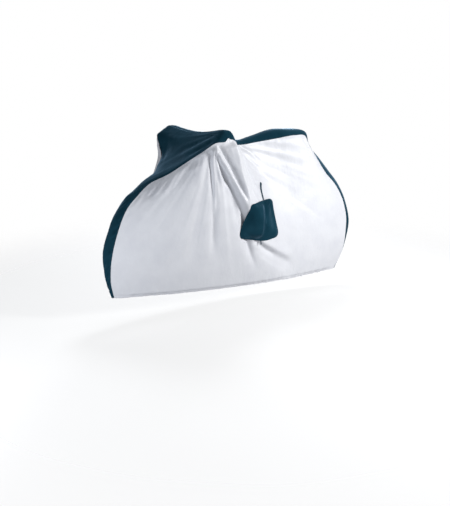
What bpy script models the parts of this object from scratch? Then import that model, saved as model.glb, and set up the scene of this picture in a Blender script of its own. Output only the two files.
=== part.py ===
"""Bicycle cover: two silver side panels, a dark centre gusset that runs from the front hem over the
handlebar and the saddle to the rear hem, and a dark pouch that hangs by a strap on the near panel.

All sizes are in metres. The shapes are worked out in the bicycle's own coordinates: x from the front
wheel to the rear one, y from the near side to the far side, z up from the ground. An empty brings the
point under the cloth over the saddle to the world origin.
"""

import math
from collections import namedtuple

import bmesh
import bpy
import numpy as np
from mathutils import Vector
from mathutils.bvhtree import BVHTree

# Cloth
CLOTH = 0.0018  # thickness of the panels and the gusset
SEAM_GAP = 0.0005  # between two sewn pieces, across the seam
LAY_GAP = 0.0007  # between the panel and what hangs on it

EDGE_ANGLE = math.radians(50)  # a sharper edge than this is shaded as a corner

ACROSS = 10  # cells from seam to seam of the gusset
SPAN_PAD = 0.01  # added to the distance between two sections, so that close ones curve less sharply
SMOOTHING = 14  # passes that round off the tent of each panel
MITRE_LIMIT = 0.6  # cosine of half the angle between two pieces beyond which their mitre grows no more

BAR_TURN = math.tan(math.radians(7.5))  # the handlebar is steered, its near end to the rear
BAR_RISE = 0.016  # and its far end stands a little higher, for each metre across

# The bicycle's top under the saddle cloth carries the cover
MOUNT_X = 0.330

# The gusset, a row a section, from the front hem to the rear hem. crown: its middle; seam: its two
# edges; half: half its width; square: how boxy its arch is; sag: how far its middle hangs below the
# arch; turn: how much it follows the handlebar; steps: cells to the next section; hem_x: where the
# panel's threads that start at this section reach the hem.
Section = namedtuple("Section", "crown_x crown_z seam_x seam_z half square sag turn steps hem_x")
SECTIONS = {
    "front_hem": Section(-0.842, 0.170, -0.834, 0.174, 0.018, 2.2, 0.0, 0.0, 1, None),
    "front_curl": Section(-0.851, 0.200, -0.840, 0.203, 0.025, 2.2, 0.0, 0.0, 3, None),
    "front_low": Section(-0.866, 0.300, -0.850, 0.300, 0.044, 2.2, 0.0, 0.0, 3, None),
    "front_mid": Section(-0.872, 0.400, -0.843, 0.400, 0.055, 2.2, 0.0, 0.0, 3, None),
    "front_high": Section(-0.836, 0.540, -0.806, 0.536, 0.056, 2.2, 0.0, 0.0, 3, None),
    "front_slope": Section(-0.770, 0.668, -0.744, 0.670, 0.053, 2.2, 0.0, 0.0, 2, None),
    "front_bend": Section(-0.685, 0.748, -0.676, 0.741, 0.049, 2.4, 0.0, 0.0, 2, None),
    "neck": Section(-0.606, 0.812, -0.606, 0.802, 0.055, 3.0, 0.0, 0.0, 4, -0.834),
    "hood_low": Section(-0.526, 0.862, -0.521, 0.853, 0.112, 4.0, 0.000, 0.0, 3, -0.740),
    "hood_mid": Section(-0.454, 0.922, -0.450, 0.917, 0.180, 5.0, 0.004, 0.1, 3, -0.640),
    "hood_high": Section(-0.392, 0.993, -0.399, 0.980, 0.248, 6.0, 0.010, 0.6, 3, -0.530),
    "lever": Section(-0.350, 1.060, -0.370, 1.026, 0.292, 10.0, 0.026, 1.0, 5, -0.390),
    "grip": Section(-0.296, 1.110, -0.310, 1.036, 0.305, 22.0, 0.044, 1.0, 3, -0.080),
    "grip_end": Section(-0.260, 1.103, -0.272, 1.048, 0.301, 22.0, 0.040, 1.0, 3, 0.050),
    "bar_back": Section(-0.222, 1.064, -0.236, 1.034, 0.282, 12.0, 0.018, 1.0, 4, 0.130),
    "stem": Section(-0.135, 1.022, -0.150, 1.000, 0.160, 4.0, 0.000, 0.5, 4, 0.210),
    "low_point": Section(-0.030, 1.012, -0.035, 0.988, 0.058, 2.6, 0.0, 0.0, 4, 0.280),
    "top_tube": Section(0.085, 1.036, 0.075, 1.000, 0.062, 2.4, 0.0, 0.0, 4, 0.360),
    "saddle_nose": Section(0.212, 1.067, 0.190, 1.016, 0.080, 2.6, 0.0, 0.0, 4, 0.450),
    "saddle": Section(0.330, 1.068, 0.320, 1.034, 0.100, 3.4, 0.0, 0.0, 3, 0.540),
    "saddle_rear": Section(0.440, 1.056, 0.400, 1.030, 0.092, 3.0, 0.0, 0.0, 2, 0.610),
    "saddle_back": Section(0.498, 1.004, 0.440, 0.985, 0.074, 1.6, 0.0, 0.0, 2, 0.680),
    "rear_top": Section(0.552, 0.922, 0.497, 0.923, 0.062, 1.3, 0.0, 0.0, 2, 0.744),
    "rear_slope": Section(0.658, 0.806, 0.592, 0.800, 0.057, 1.3, 0.0, 0.0, 2, None),
    "rear_bend": Section(0.756, 0.700, 0.692, 0.702, 0.055, 1.3, 0.0, 0.0, 3, None),
    "rear_high": Section(0.826, 0.580, 0.772, 0.580, 0.055, 1.3, 0.0, 0.0, 3, None),
    "rear_mid": Section(0.860, 0.430, 0.818, 0.430, 0.053, 1.4, 0.0, 0.0, 3, None),
    "rear_low": Section(0.826, 0.270, 0.798, 0.268, 0.044, 1.6, 0.0, 0.0, 3, None),
    "rear_curl": Section(0.774, 0.146, 0.756, 0.150, 0.025, 1.8, 0.0, 0.0, 1, None),
    "rear_hem": Section(0.762, 0.118, 0.744, 0.122, 0.018, 1.8, 0.0, 0.0, 0, None),
}
FIRST_TOP, LAST_TOP = "neck", "rear_top"  # the panel's top edge runs between these sections

# The hem, pushed out in the middle by the pedals and drawn in around the wheels
HEM_OUT = 0.115  # how far it is pushed out
HEM_BULGE = 0.8  # power of the push's sine: below 1 it fills out towards the corners
HEM_RISE = 0.020  # how far its middle stands above a straight line between its corners
HEM_CURL = 0.012  # how far the elastic draws the edge in under the panel
HEM_FADE = 0.08  # share of the hem over which the curl starts, at each end

# Folds of a panel, each a soft ridge (height above 0) or trough (below 0) along a line from its upper
# end to its lower one; bow: how far the line's middle leans to the rear; width1, width2: at those ends
Fold = namedtuple("Fold", "x1 z1 x2 z2 bow width1 width2 height")
NEAR_FOLDS = {
    "front_swell": Fold(-0.400, 0.940, -0.560, 0.300, 0.000, 0.030, 0.070, 0.012),
    "long_trough": Fold(-0.354, 0.985, -0.405, 0.240, 0.015, 0.022, 0.045, -0.014),
    "second_trough": Fold(-0.338, 0.985, -0.262, 0.230, 0.000, 0.020, 0.036, -0.014),
    "inner_ridge": Fold(-0.318, 0.975, -0.160, 0.250, 0.000, 0.020, 0.042, 0.014),
    "main_trough": Fold(-0.318, 0.985, 0.015, 0.215, -0.010, 0.023, 0.042, -0.024),
    "main_ridge": Fold(-0.300, 0.985, -0.070, 0.610, 0.000, 0.022, 0.028, 0.016),
    "band": Fold(-0.262, 1.010, -0.085, 0.690, 0.000, 0.026, 0.034, -0.016),
    "grip_ridge": Fold(-0.198, 1.020, 0.000, 0.440, 0.006, 0.026, 0.046, 0.028),
    "low_ridge": Fold(0.010, 0.430, 0.320, 0.265, 0.000, 0.026, 0.042, 0.014),
    "low_trough": Fold(-0.010, 0.395, 0.370, 0.205, 0.000, 0.026, 0.040, -0.016),
    "seam_pull": Fold(-0.507, 0.862, -0.620, 0.670, 0.000, 0.026, 0.034, -0.008),
    "saddle_drop": Fold(0.392, 1.010, 0.440, 0.700, 0.000, 0.026, 0.040, 0.007),
    "saddle_hollow": Fold(0.190, 0.990, 0.330, 0.560, 0.000, 0.040, 0.090, -0.008),
}
FAR_FOLDS = {
    "front_swell": Fold(-0.480, 0.820, -0.600, 0.300, 0.000, 0.040, 0.070, 0.012),
    "long_trough": Fold(-0.420, 0.985, -0.470, 0.240, 0.010, 0.022, 0.048, -0.015),
    "second_trough": Fold(-0.390, 0.990, -0.300, 0.240, 0.000, 0.022, 0.038, -0.018),
    "inner_ridge": Fold(-0.370, 0.990, -0.210, 0.250, 0.000, 0.022, 0.044, 0.015),
    "main_trough": Fold(-0.350, 1.000, -0.050, 0.215, -0.012, 0.026, 0.044, -0.024),
    "main_ridge": Fold(-0.325, 1.005, -0.030, 0.520, 0.000, 0.024, 0.036, 0.016),
    "grip_ridge": Fold(-0.275, 1.020, 0.060, 0.400, 0.010, 0.028, 0.050, 0.024),
    "low_trough": Fold(0.060, 0.560, 0.420, 0.215, 0.030, 0.028, 0.048, -0.016),
    "seam_pull": Fold(-0.550, 0.835, -0.660, 0.640, 0.000, 0.026, 0.036, -0.008),
    "saddle_drop": Fold(0.380, 1.010, 0.460, 0.640, 0.000, 0.028, 0.046, 0.009),
}
FOLD_POINTS = 25  # along a fold's line
FOLD_START, FOLD_END = 0.1, 0.3  # shares of its length over which it rises and dies away
SEAM_FADE = 0.030  # folds die out this far from a seam

# The pouch: its outline's corners on the panel, each cut off by a curve that starts `cut` away
Corner = namedtuple("Corner", "x z cut")
POUCH_CORNERS = {
    "top_front": Corner(-0.083, 0.673, 0.022),
    "top_rear": Corner(0.149, 0.669, 0.034),
    "bottom_rear": Corner(0.191, 0.434, 0.050),
    "bottom_middle": Corner(0.050, 0.432, 0.050),
    "bottom_front": Corner(-0.131, 0.470, 0.036),
}
CORNER_POINTS = 9  # on each of those curves
POUCH_POINTS = 44  # around its outline
POUCH_RINGS = 5  # from its middle to its outline
POUCH_RIM = 0.004  # thickness of its two layers at the edge
POUCH_CROWN = 0.012  # and in the middle
POUCH_FULL = 3  # power of the distance from the middle with which it thins

# The strap that the pouch hangs by, from its rounded stitched end, and the short tail below the pouch
STRAP_WIDTH = 0.014
STRAP_THICK = 0.0016
STRAP_LINE = ((0.079, 0.768), (0.068, 0.735), (0.066, 0.703), (0.066, 0.6711))
STRAP_ROWS = 12
TAIL_WIDTH = 0.006
TAIL_LINE = ((0.027, 0.4367), (0.029, 0.4130))
TAIL_ROWS = 3
END_CUT = 0.9  # share of the half width at which the strap's round end stops short
LIFT_PASSES = 2  # lifting a laid piece clear of the folds below it
PROBES = 6  # divisions of a face's edge at which it is tested


def spline(knots, values, at):
    """A smooth curve through the values at the knots, flat where they turn back."""
    knots = np.asarray(knots, float)
    values = np.asarray(values, float)
    rise = np.diff(values) / np.diff(knots)
    slope = np.concatenate([rise[:1], (rise[1:] + rise[:-1]) / 2, rise[-1:]])
    flat = np.concatenate([[False], rise[1:] * rise[:-1] <= 0, [False]])
    slope[flat] = 0
    i = np.clip(np.searchsorted(knots, at, side="right") - 1, 0, len(knots) - 2)
    span = knots[i + 1] - knots[i]
    t = (at - knots[i]) / span
    low, high = values[i], values[i + 1]
    return (
        low * (1 + 2 * t) * (1 - t) ** 2
        + span * slope[i] * t * (1 - t) ** 2
        + high * t**2 * (3 - 2 * t)
        - span * slope[i + 1] * t**2 * (1 - t)
    )


def stations():
    """The sections' columns at each station along the gusset, the first and last station of the panel's
    top edge, and where its threads reach the hem."""
    rows = list(SECTIONS.values())
    names = list(SECTIONS)
    path = np.array([(s.seam_x, s.seam_z) for s in rows])
    spans = np.linalg.norm(np.diff(path, axis=0), axis=1) + SPAN_PAD
    knots = np.concatenate([[0], np.cumsum(spans)])
    starts = [sum(s.steps for s in rows[:i]) for i in range(len(rows))]
    at = np.interp(np.arange(starts[-1] + 1), starts, knots)
    columns = {
        name: spline(knots, [getattr(s, name) for s in rows], at)
        for name in ("crown_x", "crown_z", "seam_x", "seam_z", "half", "square", "sag", "turn")
    }
    first, last = starts[names.index(FIRST_TOP)], starts[names.index(LAST_TOP)]
    top = [(k, s.hem_x) for k, s in zip(knots, rows) if s.hem_x is not None]
    hem_x = spline([k for k, _ in top], [x for _, x in top], at[first : last + 1])
    return columns, first, last, hem_x


def gusset_grid(columns):
    """Points of the gusset, one row a station, from the near seam to the far seam."""
    share = np.sin(np.linspace(-1, 1, ACROSS + 1) * math.pi / 2)[None, :]
    c = {name: column[:, None] for name, column in columns.items()}
    y = c["half"] * share
    lift = 1 - np.abs(share) ** c["square"]
    x = c["seam_x"] + (c["crown_x"] - c["seam_x"]) * lift - c["turn"] * BAR_TURN * y
    z = c["seam_z"] + (c["crown_z"] - c["seam_z"]) * lift - c["sag"] * (1 - share**2)
    z = z + c["turn"] * BAR_RISE * y
    return np.stack([x, np.broadcast_to(y, x.shape), z], axis=-1)


def share_along(line):
    """How far along a line each of its points is, from 0 to 1."""
    steps = np.linalg.norm(np.diff(line, axis=0), axis=1)
    return np.concatenate([[0], np.cumsum(steps)]) / steps.sum()


def hem_line(front, rear, hem_x, side):
    """The hem from the front corner to the rear one."""
    s = (hem_x - hem_x[0]) / (hem_x[-1] - hem_x[0])
    bulge = np.sin(math.pi * s) ** HEM_BULGE
    y = front[1] + (rear[1] - front[1]) * s + side * HEM_OUT * bulge
    z = front[2] + (rear[2] - front[2]) * s + HEM_RISE * np.sin(math.pi * s)
    x = front[0] + (rear[0] - front[0]) * s
    return np.stack([x, y, z], axis=-1)


def panel_grid(seam, first, last, hem_x, side):
    """Points of a side panel, one row a height, from the hem to the top edge: a patch between its
    four edges, rounded off."""
    front = seam[: first + 1]
    top = seam[first : last + 1]
    rear = seam[last:][::-1]
    hem = hem_line(front[0], rear[0], hem_x, side)
    v = ((share_along(front) + share_along(rear)) / 2)[:, None, None]
    u = ((share_along(top) + share_along(hem)) / 2)[None, :, None]
    grid = (
        (1 - v) * hem[None]
        + v * top[None]
        + (1 - u) * front[:, None]
        + u * rear[:, None]
        - (1 - u) * (1 - v) * hem[0]
        - u * (1 - v) * hem[-1]
        - (1 - u) * v * top[0]
        - u * v * top[-1]
    )
    for _ in range(SMOOTHING):
        inner = (grid[:-2, 1:-1] + grid[2:, 1:-1] + grid[1:-1, :-2] + grid[1:-1, 2:]) / 4
        grid[1:-1, 1:-1] = (grid[1:-1, 1:-1] + inner) / 2
    return grid


def area_vectors(grid):
    """For each point of a grid, the sum of its cells' area vectors."""
    cells = np.cross(grid[1:, 1:] - grid[:-1, :-1], grid[:-1, 1:] - grid[1:, :-1])
    total = np.zeros_like(grid)
    total[:-1, :-1] += cells
    total[1:, :-1] += cells
    total[:-1, 1:] += cells
    total[1:, 1:] += cells
    return total


def unit(vectors):
    return vectors / np.linalg.norm(vectors, axis=-1, keepdims=True)


def smoothstep(t):
    t = np.clip(t, 0, 1)
    return t * t * (3 - 2 * t)


def fold_height(points, fold):
    """How far a fold lifts each point, seen from the side."""
    t = np.linspace(0, 1, FOLD_POINTS)[:, None]
    start = np.array([fold.x1, fold.z1])
    end = np.array([fold.x2, fold.z2])
    line = start + (end - start) * t
    line[:, 0] += fold.bow * np.sin(math.pi * t[:, 0])
    away = np.linalg.norm(points[..., None, [0, 2]] - line, axis=-1)
    nearest = away.argmin(-1)
    along = t[nearest, 0]
    width = fold.width1 + (fold.width2 - fold.width1) * along
    fade = smoothstep(along / FOLD_START) * smoothstep((1 - along) / FOLD_END)
    return fold.height * fade * np.exp(-((away.min(-1) / width) ** 2))


def fold_panel(grid, folds, side, seam):
    """A panel with its folds, which rise along its outward normals, and with its hem drawn in."""
    outward = side * unit(area_vectors(grid))
    height = sum(fold_height(grid, fold) for fold in folds.values())
    from_seam = np.linalg.norm(grid[:, :, None] - seam, axis=-1).min(-1)
    height = height * smoothstep(from_seam / SEAM_FADE)
    grid = grid + outward * height[..., None]
    s = np.linspace(0, 1, grid.shape[1])
    grid[0, :, 1] -= side * HEM_CURL * smoothstep(np.minimum(s, 1 - s) / HEM_FADE)
    return grid


def seam_cells(first, last, count):
    """The row and the column of a panel's grid that meet the gusset at each of its stations."""
    rows = [min(k, first, count - 1 - k) for k in range(count)]
    columns = [min(max(k - first, 0), last - first) for k in range(count)]
    return rows, columns


def sew(gusset, panels, first, last):
    """Outward offsets of half the cloth's thickness, for the gusset and for each panel, mitred where
    two pieces meet. Both edges are drawn back from the seam by half the gap."""
    count = len(gusset)
    rows, columns = seam_cells(first, last, count)
    gusset_area = area_vectors(gusset)
    gusset_own = unit(gusset_area)
    offsets = [None]
    for edge, panel, turned in ((0, panels[0], -1), (-1, panels[1], 1)):
        area = turned * area_vectors(panel)
        own = unit(area)
        seam = panel[rows, columns]
        joint = unit(own[rows, columns] + gusset_own[:, edge])
        along = unit(np.gradient(seam, axis=0))
        across = unit(np.cross(along, joint))
        gusset_side = np.sign(((gusset[:, edge + 1 if edge == 0 else edge - 1] - seam) * across).sum(-1))
        pull = across * gusset_side[:, None] * SEAM_GAP / 2
        gusset[:, edge] += pull
        panel[rows, columns] -= pull
        mitre = 1 / np.maximum((own[rows, columns] * joint).sum(-1, keepdims=True), MITRE_LIMIT)
        own[rows, columns] = joint * mitre
        gusset_own[:, edge] = joint * mitre
        offsets.append(own * CLOTH / 2)
    offsets[0] = gusset_own * CLOTH / 2
    return offsets


def cloth_object(name, grid, offset, material, parent):
    """A closed thin solid: the grid moved outwards and inwards, with a rim around its four edges."""
    high, wide = grid.shape[:2]
    bm = bmesh.new()
    layers = []
    for sign in (1, -1):
        points = grid + sign * offset
        layers.append([[bm.verts.new(points[j, i]) for i in range(wide)] for j in range(high)])
    outer, inner = layers
    for j in range(high - 1):
        for i in range(wide - 1):
            bm.faces.new((outer[j][i], outer[j][i + 1], outer[j + 1][i + 1], outer[j + 1][i]))
            bm.faces.new((inner[j][i], inner[j + 1][i], inner[j + 1][i + 1], inner[j][i + 1]))
    ring = [(0, i) for i in range(wide)]
    ring += [(j, wide - 1) for j in range(1, high)]
    ring += [(high - 1, i) for i in range(wide - 2, -1, -1)]
    ring += [(j, 0) for j in range(high - 2, 0, -1)]
    for (j, i), (n, m) in zip(ring, ring[1:] + ring[:1]):
        bm.faces.new((outer[n][m], outer[j][i], inner[j][i], inner[n][m]))
    return finish(name, bm, material, parent)


def finish(name, bm, material, parent):
    """Turns a bmesh into a smooth-shaded object under the parent, its faces pointing out."""
    bmesh.ops.triangulate(bm, faces=bm.faces)
    bmesh.ops.recalc_face_normals(bm, faces=bm.faces)
    if bm.calc_volume(signed=True) < 0:
        bmesh.ops.reverse_faces(bm, faces=bm.faces)
    mesh = bpy.data.meshes.new(name)
    bm.to_mesh(mesh)
    bm.free()
    mesh.shade_smooth()
    mesh.set_sharp_from_angle(angle=EDGE_ANGLE)
    mesh.materials.append(material)
    obj = bpy.data.objects.new(name, mesh)
    bpy.context.scene.collection.objects.link(obj)
    obj.parent = parent
    return obj


def rounded_outline(corners, count):
    """Points evenly spaced around a polygon whose corners are cut off by curves."""
    middle = [np.array([c.x, c.z]) for c in corners]
    line = []
    for k, corner in enumerate(corners):
        p = middle[k]
        before = p + corner.cut * unit(middle[k - 1] - p)
        after = p + corner.cut * unit(middle[(k + 1) % len(middle)] - p)
        for t in np.linspace(0, 1, CORNER_POINTS):
            line.append((1 - t) ** 2 * before + 2 * t * (1 - t) * p + t**2 * after)
    line = np.array(line + line[:1])
    share = share_along(line)
    at = np.linspace(0, 1, count, endpoint=False)
    return np.stack([np.interp(at, share, line[:, 0]), np.interp(at, share, line[:, 1])], axis=-1)


def pouch_pattern():
    """The pouch laid flat: its points, its faces, its rim and how thick it is at each point."""
    outline = rounded_outline(list(POUCH_CORNERS.values()), POUCH_POINTS)
    centre = outline.mean(0)
    points, thickness = [centre], [POUCH_CROWN]
    faces = []
    for ring in range(1, POUCH_RINGS + 1):
        out = math.sin(ring / POUCH_RINGS * math.pi / 2)
        points += list(centre + (outline - centre) * out)
        fullness = 1 - out**POUCH_FULL
        thickness += [POUCH_RIM + (POUCH_CROWN - POUCH_RIM) * fullness] * POUCH_POINTS
        base, below = 1 + (ring - 1) * POUCH_POINTS, 1 + (ring - 2) * POUCH_POINTS
        for i in range(POUCH_POINTS):
            n = (i + 1) % POUCH_POINTS
            if ring == 1:
                faces.append((0, base + i, base + n))
            else:
                faces.append((below + i, base + i, base + n))
                faces.append((below + i, base + n, below + n))
    rim = [1 + (POUCH_RINGS - 1) * POUCH_POINTS + i for i in range(POUCH_POINTS)]
    return np.array(points), faces, rim, np.array(thickness)


def ribbon_pattern(line, width, rows, thick, round_end):
    """A flat ribbon along a line: its points, its faces, its rim and how thick it is at each point."""
    line = np.array(line)
    share = share_along(line)
    t = np.linspace(0, 1, rows + 1)
    middle = np.stack([np.interp(t, share, line[:, 0]), np.interp(t, share, line[:, 1])], axis=-1)
    along = unit(np.gradient(middle, axis=0))
    across = np.stack([-along[:, 1], along[:, 0]], axis=-1)
    half = np.full(rows + 1, width / 2)
    if round_end:
        length = np.linalg.norm(np.diff(line, axis=0), axis=1).sum()
        gone = np.clip(1 - t * length / (width / 2), 0, END_CUT)
        half *= np.sqrt(1 - gone**2)
    points = np.concatenate([middle - across * half[:, None], middle + across * half[:, None]])
    faces = []
    for k in range(rows):
        left, right = k, rows + 1 + k
        faces.append((left, right, right + 1))
        faces.append((left, right + 1, left + 1))
    rim = list(range(rows + 1)) + list(range(2 * rows + 1, rows, -1))
    return points, faces, rim, np.full(len(points), thick)


def surface_y(surface, x, z):
    """Where a line along y first meets the near panel."""
    return surface.ray_cast(Vector((x, -1, z)), Vector((0, 1, 0)))[0].y


def lay(name, pattern, surface, material, parent):
    """A closed solid of a flat pattern laid on the near panel, clear of every fold below it."""
    flat, faces, rim, thickness = pattern
    y = np.array([surface_y(surface, x, z) for x, z in flat]) - LAY_GAP
    n = PROBES
    shares = [np.array((i, j, n - i - j)) / n for i in range(n + 1) for j in range(n + 1 - i)]
    for _ in range(LIFT_PASSES):
        for face in faces:
            corners = list(face)
            for share in shares:
                x, z = share @ flat[corners]
                cut = share @ y[corners] + LAY_GAP - surface_y(surface, x, z)
                if cut > 0:
                    y[corners] -= cut
    bm = bmesh.new()
    back = [bm.verts.new((x, v, z)) for (x, z), v in zip(flat, y)]
    front = [bm.verts.new((x, v - t, z)) for (x, z), v, t in zip(flat, y, thickness)]
    for a, b, c in faces:
        bm.faces.new((front[a], front[b], front[c]))
        bm.faces.new((back[a], back[c], back[b]))
    for a, b in zip(rim, rim[1:] + rim[:1]):
        bm.faces.new((front[b], front[a], back[a], back[b]))
    return finish(name, bm, material, parent)


def hang_pouch(panel, fabric_material, webbing, parent):
    """The pouch on the near panel, its strap above and its tail below."""
    mesh = panel.data
    surface = BVHTree.FromPolygons(
        [v.co for v in mesh.vertices], [tuple(p.vertices) for p in mesh.polygons]
    )
    strap = ribbon_pattern(STRAP_LINE, STRAP_WIDTH, STRAP_ROWS, STRAP_THICK, True)
    tail = ribbon_pattern(TAIL_LINE, TAIL_WIDTH, TAIL_ROWS, STRAP_THICK, False)
    lay("pouch", pouch_pattern(), surface, fabric_material, parent)
    lay("pouch_strap", strap, surface, webbing, parent)
    lay("pouch_tail", tail, surface, webbing, parent)


def fabric(name, colour, roughness, metallic):
    material = bpy.data.materials.new(name)
    material.use_nodes = True
    shader = material.node_tree.nodes["Principled BSDF"]
    shader.inputs["Base Color"].default_value = (*colour, 1)
    shader.inputs["Roughness"].default_value = roughness
    shader.inputs["Metallic"].default_value = metallic
    return material


def main():
    for obj in list(bpy.data.objects):
        bpy.data.objects.remove(obj, do_unlink=True)
    silver = fabric("silver_fabric", (0.62, 0.64, 0.70), 0.45, 0.3)
    navy = fabric("navy_fabric", (0.011, 0.040, 0.064), 0.55, 0.0)
    webbing = fabric("navy_webbing", (0.009, 0.030, 0.048), 0.7, 0.0)

    columns, first, last, hem_x = stations()
    gusset = gusset_grid(columns)
    near = panel_grid(gusset[:, 0], first, last, hem_x, -1)
    far = panel_grid(gusset[:, -1], first, last, hem_x, 1)
    near = fold_panel(near, NEAR_FOLDS, -1, gusset[:, 0])
    far = fold_panel(far, FAR_FOLDS, 1, gusset[:, -1])
    gusset_offset, near_offset, far_offset = sew(gusset, (near, far), first, last)

    cover = bpy.data.objects.new("cover", None)
    bpy.context.scene.collection.objects.link(cover)
    saddle = SECTIONS["saddle"]
    cover.location = (-MOUNT_X, 0, -(saddle.crown_z - CLOTH))
    panel = cloth_object("side_panel_near", near, near_offset, silver, cover)
    cloth_object("side_panel_far", far, far_offset, silver, cover)
    cloth_object("centre_gusset", gusset, gusset_offset, navy, cover)
    hang_pouch(panel, navy, webbing, cover)


if __name__ == "__main__":
    main()
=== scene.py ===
"""Looks of the bicycle cover, on the frame of its solids: the silver side panels and the dark gusset as
thin sheets with their folds, puckers and rolled hems, the pouch with its strap and tail, the stitching,
the fabrics, and the floor, lights and camera.

The shapes are worked out in the bicycle's own coordinates: x from the front wheel to the rear one, y from
the near side to the far side, z up from the ground. SHIFT brings them to the frame. Sizes are in metres,
and the tables that are read by in_metres and creases are in millimetres.
"""

import math
from collections import namedtuple

import bmesh
import bpy
import numpy as np
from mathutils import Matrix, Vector
from mathutils.bvhtree import BVHTree

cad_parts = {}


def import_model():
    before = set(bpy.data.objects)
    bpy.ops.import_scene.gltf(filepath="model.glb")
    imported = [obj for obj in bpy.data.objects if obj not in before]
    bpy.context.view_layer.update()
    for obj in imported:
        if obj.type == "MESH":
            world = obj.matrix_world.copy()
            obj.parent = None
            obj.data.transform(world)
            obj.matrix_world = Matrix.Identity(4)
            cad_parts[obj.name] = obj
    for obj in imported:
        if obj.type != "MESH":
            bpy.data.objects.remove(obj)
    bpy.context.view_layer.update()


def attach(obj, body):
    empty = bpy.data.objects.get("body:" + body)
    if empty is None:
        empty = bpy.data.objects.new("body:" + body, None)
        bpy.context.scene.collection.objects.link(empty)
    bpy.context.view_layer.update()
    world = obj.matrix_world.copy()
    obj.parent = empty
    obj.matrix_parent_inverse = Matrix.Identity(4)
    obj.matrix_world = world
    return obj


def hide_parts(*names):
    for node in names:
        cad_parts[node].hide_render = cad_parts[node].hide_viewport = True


def metres(v):
    """Metres from millimetres, without the rounding error of the division."""
    return round(v / 1000, 9)


def in_metres(fields, plain, table, defaults=()):
    """Named rows of a table whose numbers are in millimetres, apart from the plain fields, in metres."""
    kind = namedtuple("Row", fields, defaults=defaults)
    keep = plain.split()
    return {
        name: kind(*(v if f in keep else metres(v) for f, v in zip(kind._fields, row)))
        for name, row in table.items()
    }


Crease = namedtuple("Crease", "height width1 width2 peak lean line")


def creases(table):
    """Creases from rows in millimetres: each a ridge or a trough with its height, its width at the line's
    two ends, how peaked it is (2 is round, 1 is a sharp crest), how much wider it is to the left of its
    line than to the right, and the line's points, each two numbers."""
    return {
        name: Crease(*(metres(v) for v in row[:3]), *row[3:5], np.reshape(row[5:], (-1, 2)) / 1000)
        for name, row in table.items()
    }


BODY = "root"
LATTICE = 64  # points each way of the lattice under the noise, which then repeats
GUSSET_SEED, NEAR_SEED, FAR_SEED, POUCH_SEED = 31, 51, 71, 41  # of the uneven creases and puckers
SHIFT = np.array([-0.330, 0.0, -1.0662])  # the saddle's underside of the cloth is the frame's origin

# Cloth
SHEET = 0.0012  # thickness of the panels and the gusset
SEAM_GAP = 0.0003
EDGE_ANGLE = math.radians(50)
SPAN_PAD = 0.01  # evens out the curve through the sections
SMOOTHING = 14  # passes that round off the panels' patches
MITRE_LIMIT = 0.6
ACROSS = 28  # cells from seam to seam of the gusset
BAR_TURN = math.tan(math.radians(7.5))  # the handlebar is turned a little
BAR_RISE = 0.016

# The gusset, a row a section, from the front hem to the rear hem, as its solid has it. steps: coarse
# cells to the next section; cuts: fine cells in each of those; hem_x: the hem's place below the top edge
COLUMNS = "crown_x crown_z seam_x seam_z half square sag turn"
SECTION = "crown_x crown_z seam_x seam_z half square steps cuts hem_x sag turn"
SECTIONS = in_metres(SECTION, "square steps cuts turn", {
    "front_hem": (-842, 170, -834, 174, 18, 2.2, 1, 12),
    "front_curl": (-851, 200, -840, 203, 25, 2.2, 3, 9),
    "front_low": (-866, 300, -850, 300, 44, 2.2, 3, 9),
    "front_mid": (-872, 400, -843, 400, 55, 2.2, 3, 9),
    "front_high": (-836, 540, -806, 536, 56, 2.2, 3, 9),
    "front_slope": (-770, 668, -744, 670, 53, 2.2, 2, 9),
    "front_bend": (-685, 748, -676, 741, 49, 2.4, 2, 9),
    "neck": (-606, 812, -606, 802, 55, 3.0, 4, 4, -834),
    "hood_low": (-526, 862, -521, 853, 112, 4.0, 3, 5, -740),
    "hood_mid": (-454, 922, -450, 917, 180, 5.0, 3, 6, -640, 4, 0.1),
    "hood_high": (-392, 993, -399, 980, 248, 6.0, 3, 6, -530, 10, 0.6),
    "lever": (-350, 1060, -370, 1026, 292, 10.0, 5, 9, -390, 26, 1.0),
    "grip": (-296, 1110, -310, 1036, 305, 22.0, 3, 7, -80, 44, 1.0),
    "grip_end": (-260, 1103, -272, 1048, 301, 22.0, 3, 5, 50, 40, 1.0),
    "bar_back": (-222, 1064, -236, 1034, 282, 12.0, 4, 4, 130, 18, 1.0),
    "stem": (-135, 1022, -150, 1000, 160, 4.0, 4, 4, 210, 0, 0.5),
    "low_point": (-30, 1012, -35, 988, 58, 2.6, 4, 4, 280),
    "top_tube": (85, 1036, 75, 1000, 62, 2.4, 4, 4, 360),
    "saddle_nose": (212, 1067, 190, 1016, 80, 2.6, 4, 4, 450),
    "saddle": (330, 1068, 320, 1034, 100, 3.4, 3, 4, 540),
    "saddle_rear": (440, 1056, 400, 1030, 92, 3.0, 2, 5, 610),
    "saddle_back": (498, 1004, 440, 985, 74, 1.6, 2, 5, 680),
    "rear_top": (552, 922, 497, 923, 62, 1.3, 2, 9, 744),
    "rear_slope": (658, 806, 592, 800, 57, 1.3, 2, 9),
    "rear_bend": (756, 700, 692, 702, 55, 1.3, 3, 9),
    "rear_high": (826, 580, 772, 580, 55, 1.3, 3, 9),
    "rear_mid": (860, 430, 818, 430, 53, 1.4, 3, 9),
    "rear_low": (826, 270, 798, 268, 44, 1.6, 3, 9),
    "rear_curl": (774, 146, 756, 150, 25, 1.8, 1, 12),
    "rear_hem": (762, 118, 744, 122, 18, 1.8, 0, 0),
}, (None, 0, 0))
FIRST_TOP, LAST_TOP = "neck", "rear_top"  # the panels' top edge runs between these

HEM_OUT = 0.115
HEM_BULGE = 0.8
HEM_RISE = 0.020
HEM_CURL, HEM_CURL_HEIGHT = 0.008, 0.024  # how far the elastic draws the hem in, and up to what height
HEM_FADE = 0.08
HEM_DROP, HEM_DROP_HEIGHT = 0.017, 0.180  # how much lower the sheets hang than the solids' hems

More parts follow.
